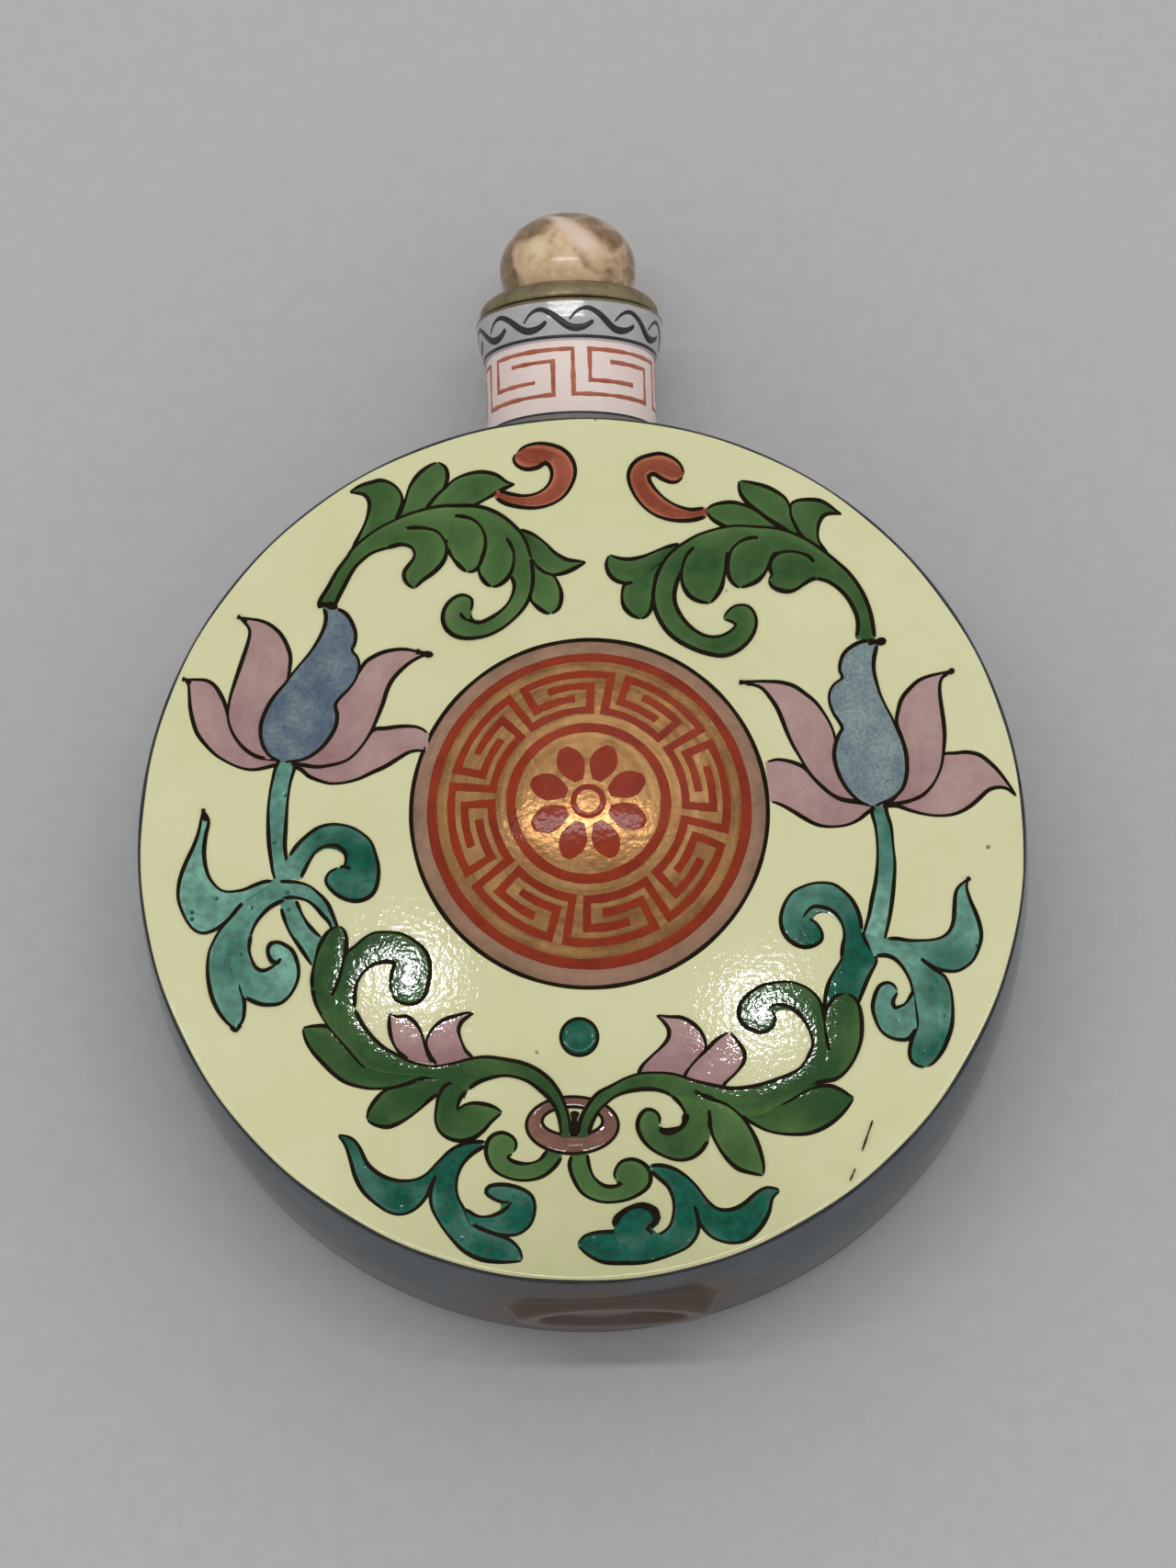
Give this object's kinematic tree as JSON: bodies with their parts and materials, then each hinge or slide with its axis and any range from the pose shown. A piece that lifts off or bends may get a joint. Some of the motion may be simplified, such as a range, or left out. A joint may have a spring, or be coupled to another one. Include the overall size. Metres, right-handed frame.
{
  "type": "snuff bottle",
  "caption": "Round flat porcelain snuff bottle with a domed boss, short neck and flared lip, closed by a lift-out stopper with stone finial, brass collar, cork and spoon.",
  "frame": {"origin": "centre of the flat back face on which the bottle lies", "axes": "+Z out of the decorated front face, +Y along the neck towards the stopper, +X to the right of the front face"},
  "size_m": [0.0508, 0.0653, 0.02],
  "materials": {
    "lemon_enamel": "glossy enamel over porcelain",
    "blue_grey_enamel": "glossy enamel over porcelain",
    "white_porcelain": "glossy glaze with painted fret",
    "iron_red_foot": "thin iron-red enamel",
    "aged_brass": "dull and tarnished",
    "beige_stone": "polished, mottled",
    "cork": "matt cork",
    "bamboo": "smooth bamboo"
  },
  "bodies": {
    "bottle": {"body_front": "lemon_enamel", "body_back": "blue_grey_enamel", "neck": "white_porcelain", "foot_ring": "iron_red_foot"},
    "stopper": {"finial": "beige_stone", "collar": "aged_brass", "cork": "cork", "spoon": "bamboo"}
  },
  "joints": [
    {"name": "stopper_pull", "type": "slide", "parent": "bottle", "child": "stopper", "axis": [0, 1, 0], "range_m": [0, 0.054]}
  ]
}
